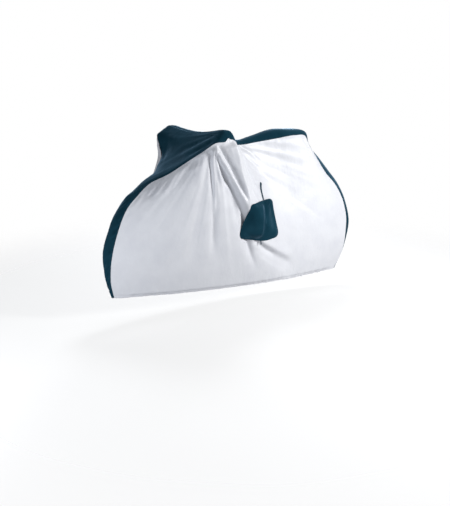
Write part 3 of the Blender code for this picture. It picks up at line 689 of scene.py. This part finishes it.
def sew(gusset, panels, stations):
    """Outward normals for the gusset and for each panel, mitred where two pieces meet. Both edges are
    drawn back from the seam by half the gap."""
    rows, columns = seam_cells(stations)
    gusset_own = unit(area_vectors(gusset))
    normals = [None]
    for edge, inner, panel, turned in ((0, 1, panels[0], -1), (-1, -2, panels[1], 1)):
        own = unit(turned * area_vectors(panel))
        seam = panel[rows, columns]
        joint = unit(own[rows, columns] + gusset_own[:, edge])
        across = unit(np.cross(unit(np.gradient(seam, axis=0)), joint))
        gusset_side = np.sign(((gusset[:, inner] - seam) * across).sum(-1))
        pull = across * gusset_side[:, None] * SEAM_GAP / 2
        gusset[:, edge] += pull
        panel[rows, columns] -= pull
        mitre = 1 / np.maximum((own[rows, columns] * joint).sum(-1, keepdims=True), MITRE_LIMIT)
        own[rows, columns] = joint * mitre
        gusset_own[:, edge] = joint * mitre
        normals.append(own)
    normals[0] = gusset_own
    return normals


def roll_hem(grid, normals):
    """Rolls the first row's edge in around the elastic: the grid and its normals with the new rows."""
    outward = unit(normals[0])
    for _ in range(ROLL_BLEND):
        outward[1:-1] = unit(outward[:-2] + outward[1:-1] * 2 + outward[2:])
    down = unit(grid[0] - grid[1])
    down = unit(down - outward * (down * outward).sum(-1, keepdims=True))
    rows, turned = [], []
    for angle in np.linspace(0, ROLL_TURN, ROLL_ROWS + 1)[1:]:
        direction = outward * math.cos(angle) + down * math.sin(angle)
        rows.insert(0, grid[0] - outward * ROLL_RADIUS + direction * ROLL_RADIUS)
        turned.insert(0, direction)
    return np.concatenate([rows, grid]), np.concatenate([turned, normals])


def make_piece(name, points, faces, uv, material, node=None):
    """A smooth-shaded object of these points and faces that rides with the cover."""
    mesh = bpy.data.meshes.new(name)
    mesh.from_pydata(points.tolist(), [], [tuple(int(v) for v in f) for f in faces])
    mesh.update()
    bm = bmesh.new()
    bm.from_mesh(mesh)
    bmesh.ops.recalc_face_normals(bm, faces=bm.faces)
    if bm.calc_volume(signed=True) < 0:
        bmesh.ops.reverse_faces(bm, faces=bm.faces)
    bm.to_mesh(mesh)
    bm.free()
    layer = mesh.uv_layers.new(name="UVMap")
    corners = np.empty(len(mesh.loops), np.int32)
    mesh.loops.foreach_get("vertex_index", corners)
    layer.data.foreach_set("uv", np.asarray(uv, np.float32)[corners].reshape(-1))
    mesh.shade_smooth()
    mesh.set_sharp_from_angle(angle=EDGE_ANGLE)
    mesh.materials.append(material)
    piece = bpy.data.objects.new(name, mesh)
    bpy.context.scene.collection.objects.link(piece)
    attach(piece, BODY)
    if node:
        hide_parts(node)
    return piece


def sheet_piece(name, outer, inner, measured, material, node):
    """A closed thin sheet between two grids, with a grid's lengths each way as texture coordinates."""
    index = np.arange(outer.shape[0] * outer.shape[1]).reshape(outer.shape[:2])
    cells = np.stack([index[:-1, :-1], index[:-1, 1:], index[1:, 1:], index[1:, :-1]], axis=-1).reshape(-1, 4)
    ring = np.concatenate([index[0], index[1:, -1], index[-1, -2::-1], index[-2:0:-1, 0]])
    after = np.roll(ring, -1)
    rim = np.stack([after, ring, ring + index.size, after + index.size], axis=-1)
    points = np.concatenate([outer, inner]).reshape(-1, 3) + SHIFT
    faces = np.concatenate([cells, cells[:, ::-1] + index.size, rim])
    uv = np.stack([along_rows(measured), along_rows(measured.swapaxes(0, 1)).T], axis=-1).reshape(-1, 2)
    return make_piece(name, points, faces, np.concatenate([uv, uv]), material, node)


def cloth_piece(name, grid, normals, material, slot, node):
    """A sheet of cloth around a grid."""
    half = normals * SHEET / 2
    return sheet_piece(name, grid + half, grid - half, grid, material, node)


def surface_y(surface, flat):
    """Where the lines along y through a grid of x and z first meet the near panel."""
    ahead = Vector((0, 1, 0))
    return np.array([[surface.ray_cast(Vector((x, -1, z)), ahead)[0].y for x, z in row] for row in flat])


def with_y(flat, y):
    """Points of a grid of x and z, at these places along y."""
    return np.stack([flat[..., 0], y, flat[..., 1]], axis=-1)


def rounded_outline(corners, count):
    """Points evenly spaced around a polygon whose corners are cut off by curves."""
    middle = [np.array([c.x, c.z]) for c in corners]
    t = np.linspace(0, 1, CORNER_POINTS)[:, None]
    line = []
    for k, corner in enumerate(corners):
        p = middle[k]
        before = p + corner.cut * unit(middle[k - 1] - p)
        after = p + corner.cut * unit(middle[(k + 1) % len(middle)] - p)
        line += list((1 - t) ** 2 * before + 2 * t * (1 - t) * p + t**2 * after)
    line = np.array(line + line[:1])
    at = np.linspace(0, 1, count, endpoint=False)
    return np.stack([np.interp(at, share_along(line), line[:, k]) for k in (0, 1)], axis=-1)


def pouch_piece(surface, material):
    """The pouch: two layers of cloth, stitched together inside their edge, draped on the near panel."""
    outline = rounded_outline(list(POUCH_CORNERS.values()), POUCH_POINTS)
    centre = outline.mean(0)
    out = 1 - np.arange(POUCH_RINGS + 1) / POUCH_RINGS
    out = (POUCH_MIDDLE + (1 - POUCH_MIDDLE) * (1 - out**POUCH_CROWDING))[:, None]
    flat = centre + (outline - centre)[None] * out[..., None]
    from_edge = (1 - out) * size(outline - centre)[None]
    y = surface_y(surface, flat) - POUCH_LAY
    limit = y.copy()
    for _ in range(POUCH_DRAPE):
        around = (np.roll(y, 1, 1) + np.roll(y, -1, 1)) / 2
        y[1:-1] = (around[1:-1] + (y[2:] + y[:-2]) / 2) / 2
        y[0] = y[1].mean()
        y[-1] = (y[-1] + around[-1]) / 2
        y = np.minimum(y, limit)
    thick = POUCH_RIM + (POUCH_CROWN - POUCH_RIM) * ease(from_edge / POUCH_SHOULDER)
    thick = thick - POUCH_SEAM_DEPTH * np.exp(-(((from_edge - POUCH_SEAM) / POUCH_SEAM_WIDTH) ** 2))
    height = sum(crease_height(flat, c) for c in POUCH_CREASES.values())
    turn = np.arange(POUCH_POINTS)[None] / POUCH_POINTS * POUCH_PUCKERS + out * 0
    puckers = POUCH_PUCKER * noise(POUCH_SEED, turn, from_edge / POUCH_PUCKER_LENGTH)
    height = height + puckers * np.exp(-(((from_edge - POUCH_SEAM) / POUCH_PUCKER_REACH) ** 2))
    thick = np.maximum(thick + height * ease(from_edge / POUCH_SEAM), POUCH_RIM * POUCH_THINNEST)
    outer, inner = with_y(flat, y - thick), with_y(flat, y)
    rim = []
    for share in np.arange(1, POUCH_EDGE_ROWS + 1) / (POUCH_EDGE_ROWS + 1):
        place = outline + unit(outline - centre) * math.sin(math.pi * share) * POUCH_RIM / 2
        rim.append(with_y(place, y[-1] - thick[-1] * (1 - share)))
    rings = np.array([*outer, *rim, *inner[::-1]])
    points = np.concatenate([rings.reshape(-1, 3), [outer[0].mean(0), inner[0].mean(0)]])
    index = np.arange(rings.size // 3).reshape(rings.shape[:2])
    after = np.roll(index, -1, axis=1)
    faces = np.stack([index[:-1], after[:-1], after[1:], index[1:]], axis=-1).reshape(-1, 4).tolist()
    faces += [(index.size, b, a) for a, b in zip(index[0], after[0])]
    faces += [(index.size + 1, a, b) for a, b in zip(index[-1], after[-1])]
    uv = points[:, [0, 2]]
    return make_piece("pouch_body", points + SHIFT, faces, uv, material, "pouch")


def tape_piece(name, surface, line, width, rows, cols, hanging, material, node):
    """A woven tape along a line on the near panel, with rounded long edges, and the grid of its face. It
    lies on the panel up to a round end, or hangs free in front of it."""
    line = np.array(line)
    t = np.linspace(0, 1, rows + 1)
    middle = cubic(line, np.interp(t, share_along(line), range(len(line))))
    along = unit(np.gradient(middle, axis=0))
    across = np.stack([-along[:, 1], along[:, 0]], axis=-1)
    length = lengths(line)[-1]
    half = np.full(rows + 1, width / 2)
    if not hanging:
        half *= np.sqrt(1 - np.clip(1 - t * length / (width / 2), 0, TAPE_TIP) ** 2)
    s = np.sin(np.linspace(-1, 1, cols + 1) * math.pi / 2)
    flat = middle[:, None] + across[:, None] * (half[:, None] * s[None])[..., None]
    y = surface_y(surface, flat) - TAPE_LAY
    if hanging:
        y[:] = y.min()
    for _ in range(TAPE_DRAPE):
        smooth = y.copy()
        smooth[1:-1] = (y[2:] + y[:-2]) / 2
        y = np.minimum(smooth, y)
    body = TAPE_THICK * np.sqrt(np.maximum(1 - np.abs(s) ** TAPE_SQUARE, TAPE_EDGE))
    weave = TAPE_RIB * np.sin(t * length / TAPE_RIB_PITCH * 2 * math.pi)[:, None] * (1 - s**RIB_SQUARE)[None]
    outer = with_y(flat, y - body[None] - weave)
    return sheet_piece(name, outer, with_y(flat, y), outer, material, node), outer


def stitches(name, runs, material):
    """Rows of thread stitches that lie on the cloth, as one joined mesh of short pointed humps."""
    points, faces = [], []
    for line, normals in runs:
        length = lengths(line)
        at = np.arange(STITCH_PITCH / 2, length[-1], STITCH_PITCH)
        runs_at = ([np.interp(at, length, v[:, k]) for k in range(3)] for v in (line, normals))
        places, up = (np.stack(v, 1) for v in runs_at)
        up = unit(up)
        along = unit(np.gradient(places, axis=0))
        across = unit(np.cross(up, along)) * STITCH_WIDTH / 2
        for p, a, c, n in zip(places, along * STITCH_LENGTH / 2, across, up * STITCH_THICK):
            first = len(points)
            points.append(p - a - n * STITCH_TIP)
            for end in (p - a * STITCH_SHOULDER, p + a * STITCH_SHOULDER):
                low = end - n * STITCH_SIDE
                points += [low + c, end + n * STITCH_TOP, low - c, end - n]
            points.append(p + a - n * STITCH_TIP)
            for k in range(4):
                i, j = first + 1 + k, first + 1 + (k + 1) % 4
                faces += [(first, i, j), (i, i + 4, j + 4, j), (first + 9, j + 4, i + 4)]
    points = np.array(points) + SHIFT
    return make_piece(name, points, faces, points[:, [0, 2]], material)


def beside(grid, normals, distance, end):
    """The line on a grid that runs a set distance from its first column, or its last, and its normals."""
    turn = -1 if end else 1
    steps = along_rows(grid[:, ::turn])
    line, up = (
        np.array([[np.interp(distance, s, row[::turn, k]) for k in range(3)] for s, row in zip(steps, rows)])
        for rows in (grid, normals)
    )
    up = unit(up)
    return line + up * SHEET / 2, up


def stitch_work(gusset, near, far, navy_thread, silver_thread):
    """The stitching beside the seams and above the hems, as lists of pieces by the cloth that they are
    on. Each cloth is its grid and its normals."""
    runs = [beside(*gusset, SEAM_STITCHES, end) for end in (False, True)]
    runs += [beside(*(v.swapaxes(0, 1) for v in gusset), HEM_BAND, end) for end in (False, True)]
    trims = {"gusset": [stitches("gusset_stitches", runs, navy_thread)]}
    for name, cloth in (("near", near), ("far", far)):
        hem = [beside(*(v.swapaxes(0, 1) for v in cloth), HEM_BAND, False)]
        trims[name] = [stitches(f"hem_stitches_{name}", hem, silver_thread)]
    return trims


class Nodes:
    """The node tree of a material or a world, with short calls for adding and linking nodes."""

    def __init__(self, owner):
        owner.use_nodes = True
        self.owner, self.tree = owner, owner.node_tree

    def feed(self, socket, source):
        if isinstance(source, bpy.types.NodeSocket):
            self.tree.links.new(source, socket)
        else:
            socket.default_value = source

    def add(self, kind, links=None, **settings):
        node = self.tree.nodes.new(kind)
        for key, value in settings.items():
            setattr(node, key, value)
        for name, source in (links or {}).items():
            self.feed(node.inputs[name], source)
        return node

    def place(self, output="Object"):
        return self.add("ShaderNodeTexCoord").outputs[output]

    def noise(self, scale, detail, roughness=0.55):
        """Noise of one scale, or with a scale along each axis."""
        vector = self.place()
        if isinstance(scale, tuple):
            vector, scale = self.scaled(vector, scale), 1.0
        links = {"Vector": vector, "Scale": scale, "Detail": detail, "Roughness": roughness}
        return self.add("ShaderNodeTexNoise", links).outputs["Fac"]

    def math(self, operation, first, second=0.0):
        return self.add("ShaderNodeMath", {0: first, 1: second}, operation=operation).outputs[0]

    def scaled(self, vector, scale):
        return self.add("ShaderNodeMapping", {"Vector": vector, "Scale": scale}).outputs["Vector"]

    def ramp(self, factor, *stops):
        node = self.add("ShaderNodeValToRGB", {"Fac": factor})
        elements = node.color_ramp.elements
        for _ in stops[2:]:
            elements.new(0.5)
        for element, (place, colour) in zip(elements, stops):
            element.position, element.color = place, (*colour, 1)
        return node.outputs["Color"]

    def bump(self, height, distance, strength, normal=None):
        links = {"Height": height, "Distance": distance, "Strength": strength}
        if normal is not None:
            links["Normal"] = normal
        return self.add("ShaderNodeBump", links).outputs["Normal"]

    def weave(self, pitch):
        """A plain weave's height: threads that pass over and under each other."""
        place = self.scaled(self.place("UV"), (1 / pitch, 1 / pitch, 1))
        parts = self.add("ShaderNodeSeparateXYZ", {"Vector": place})
        waves = [self.math("SINE", self.math("MULTIPLY", parts.outputs[axis], 2 * math.pi)) for axis in "XY"]
        return self.math("MULTIPLY", *waves)

    def set(self, **values):
        for name, value in values.items():
            socket = name.replace("_", " ").title().replace("Ior", "IOR")
            self.feed(self.tree.nodes["Principled BSDF"].inputs[socket], value)
        return self.owner


def fabric(name, cloth):
    """Coated taffeta: a fine weave, soft crinkles, uneven colour and a satin sheen."""
    nodes = Nodes(bpy.data.materials.new(name))
    colours = zip(COLOUR_STOPS, (cloth.dark, cloth.base, cloth.light))
    nodes.set(base_color=nodes.ramp(nodes.noise(*COLOUR_NOISE), *colours))
    worn = nodes.math("SUBTRACT", nodes.noise(*WORN_NOISE), 0.5)
    worn = nodes.math("MULTIPLY", worn, ROUGHNESS_SPREAD)
    nodes.set(roughness=nodes.math("ADD", worn, CLOTH_ROUGHNESS))
    normal = nodes.bump(nodes.noise(*CRINKLE_NOISE), cloth.crinkle, CRINKLE_STRENGTH)
    fine = nodes.noise(*FINE_CRINKLE_NOISE)
    normal = nodes.bump(fine, cloth.crinkle * FINE_CRINKLE, CRINKLE_STRENGTH, normal)
    normal = nodes.bump(nodes.weave(WEAVE_PITCH), *WEAVE_BUMP, normal)
    nodes.set(normal=normal, metallic=cloth.metallic, sheen_weight=cloth.sheen, sheen_roughness=0.3)
    return nodes.set(sheen_tint=cloth.tint, specular_ior_level=cloth.specular)


def webbing_fabric(name):
    """Woven tape: ribs across it, matte."""
    nodes = Nodes(bpy.data.materials.new(name))
    colours = zip(WEBBING_STOPS, (WEBBING_DARK, WEBBING_LIGHT))
    nodes.set(base_color=nodes.ramp(nodes.noise(*WEBBING_NOISE), *colours))
    nodes.set(normal=nodes.bump(nodes.weave(TAPE_RIB_PITCH), *RIB_BUMP), roughness=0.72, sheen_weight=0.08)
    return nodes.set(sheen_roughness=0.4, sheen_tint=WEBBING_TINT, specular_ior_level=0.1)


def thread(name, colours):
    """Spun thread with a slight shine."""
    nodes = Nodes(bpy.data.materials.new(name))
    twist = nodes.noise(*TWIST_NOISE)
    nodes.set(base_color=nodes.ramp(twist, *zip(THREAD_STOPS, colours)))
    return nodes.set(normal=nodes.bump(twist, *TWIST_BUMP), roughness=0.55, sheen_weight=0.2)


def floor():
    """A plain pale floor that glows a little, like a light table, and fades out towards its edge."""
    nodes = Nodes(bpy.data.materials.new("floor"))
    colours = zip(FLOOR_STOPS, (FLOOR_DARK, FLOOR_LIGHT))
    nodes.set(base_color=nodes.ramp(nodes.noise(*FLOOR_NOISE), *colours))
    nodes.set(roughness=0.9, emission_color=(1, 1, 1, 1), emission_strength=FLOOR_GLOW)
    away = nodes.add("ShaderNodeVectorMath", {0: nodes.place()}, operation="LENGTH").outputs["Value"]
    fade = {"Value": away, "From Min": FLOOR_FADE, "From Max": FLOOR_RADIUS, "To Min": FLOOR_SOLID}
    clear = nodes.add("ShaderNodeMapRange", {**fade, "To Max": 0}, interpolation_type="SMOOTHERSTEP")
    nodes.set(alpha=clear.outputs["Result"])
    bpy.ops.mesh.primitive_circle_add(vertices=96, radius=FLOOR_RADIUS, fill_type="NGON")
    plane = bpy.context.object
    plane.name = "floor"
    plane.location = (SHIFT[0], 0, SHIFT[2])
    plane.data.materials.append(nodes.owner)


def put(name, data, place, look):
    """A camera or a light at a place, turned to look along a direction."""
    thing = bpy.data.objects.new(name, data)
    bpy.context.scene.collection.objects.link(thing)
    thing.location = place
    thing.rotation_euler = Vector(look).to_track_quat("-Z", "Y").to_euler()
    return thing


def studio():
    """A large soft key light on the right, weaker ones around the object, and an even surround."""
    for name, lamp in LAMPS.items():
        data = bpy.data.lights.new(name, "AREA")
        data.energy, data.size, data.color = lamp.energy, lamp.size, lamp.colour
        put(name, data, lamp.place, Vector(LIGHT_AIM) - Vector(lamp.place))
    world = bpy.data.worlds.new("studio")
    bpy.context.scene.world = world
    nodes = Nodes(world)
    surround = nodes.add("ShaderNodeBackground", {"Color": SURROUND, "Strength": SURROUND_LIGHT})
    backdrop = nodes.add("ShaderNodeBackground", {"Color": BACKDROP})
    seen = nodes.add("ShaderNodeLightPath").outputs["Is Camera Ray"]
    mix = nodes.add("ShaderNodeMixShader", {0: seen, 1: surround.outputs[0], 2: backdrop.outputs[0]})
    nodes.feed(nodes.tree.nodes["World Output"].inputs["Surface"], mix.outputs[0])


def camera():
    """The photograph's camera."""
    data = bpy.data.cameras.new("camera")
    data.sensor_fit, data.sensor_height, data.lens = "VERTICAL", SENSOR, LENS
    yaw, pitch = math.radians(CAMERA_YAW), math.radians(CAMERA_PITCH)
    look = (math.sin(yaw) * math.cos(pitch), math.cos(yaw) * math.cos(pitch), -math.sin(pitch))
    bpy.context.scene.camera = put("camera", data, CAMERA_PLACE, look)


def flat_size(grid):
    """A cloth's greatest lengths across and along, and its area, as it lies flat."""
    cells = np.cross(grid[1:, 1:] - grid[:-1, :-1], grid[:-1, 1:] - grid[1:, :-1])
    wide, high = (float(along_rows(g)[:, -1].max()) for g in (grid, grid.swapaxes(0, 1)))
    return wide, high, float(size(cells).sum() / 2)


def declare(near, far, gusset, pouch, strap, trims):
    """near, far, gusset and strap are each a piece with the grid that it was made from; pouch and trims are
    not used.
    """
    _, length, area = flat_size(gusset[1])
    for name, (piece, grid) in (("near", near), ("far", far)):
        wide, high, area = flat_size(grid)
    wide, high, area = flat_size(strap[1])


def main():
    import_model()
    camera()
    silver, navy = fabric("silver_fabric", SILVER), fabric("navy_fabric", NAVY)
    webbing = webbing_fabric("navy_webbing")
    navy_thread = thread("navy_thread", NAVY_THREAD)
    silver_thread = thread("silver_thread", SILVER_THREAD)

    coarse, fine = Stations(False), Stations(True)
    gusset = dress_gusset(gusset_grid(fine.columns, ACROSS), GUSSET_SEED)
    near_base, far_base = panel_grid(coarse, fine, -1), panel_grid(coarse, fine, 1)
    near = dress_panel(near_base, NEAR_FOLDS, NEAR_CREASES, NEAR_RAYS, gusset[:, 0], -1, NEAR_SEED)
    far = dress_panel(far_base, FAR_FOLDS, FAR_CREASES, FAR_RAYS, gusset[:, -1], 1, FAR_SEED)
    gusset_up, near_up, far_up = sew(gusset, (near, far), fine)

    near_rolled, far_rolled = roll_hem(near, near_up), roll_hem(far, far_up)
    front_rolled = roll_hem(gusset, gusset_up)
    back_rolled = roll_hem(front_rolled[0][::-1], front_rolled[1][::-1])
    near_piece = cloth_piece("side_cloth_near", *near_rolled, silver, "silver_fabric", "side_panel_near")
    far_piece = cloth_piece("side_cloth_far", *far_rolled, silver, "silver_fabric", "side_panel_far")
    gusset_piece = cloth_piece("gusset_cloth", *back_rolled, navy, "navy_fabric", "centre_gusset")

    mesh = near_piece.data
    surface = BVHTree.FromPolygons(
        [v.co - Vector(SHIFT) for v in mesh.vertices], [tuple(p.vertices) for p in mesh.polygons]
    )
    pouch = pouch_piece(surface, navy)
    strap = tape_piece("strap_tape", surface, *STRAP, webbing, "pouch_strap")
    tail, _ = tape_piece("tail_tape", surface, *TAIL, webbing, "pouch_tail")

    cloths = (gusset, gusset_up), (near, near_up), (far, far_up)
    trims = stitch_work(*cloths, navy_thread, silver_thread)
    trims["near"].append(tail)
    panels = (near_piece, near_rolled[0]), (far_piece, far_rolled[0])
    declare(*panels, (gusset_piece, back_rolled[0]), pouch, strap, trims)

    floor()
    studio()
    bpy.context.scene.view_settings.view_transform = "Standard"


main()
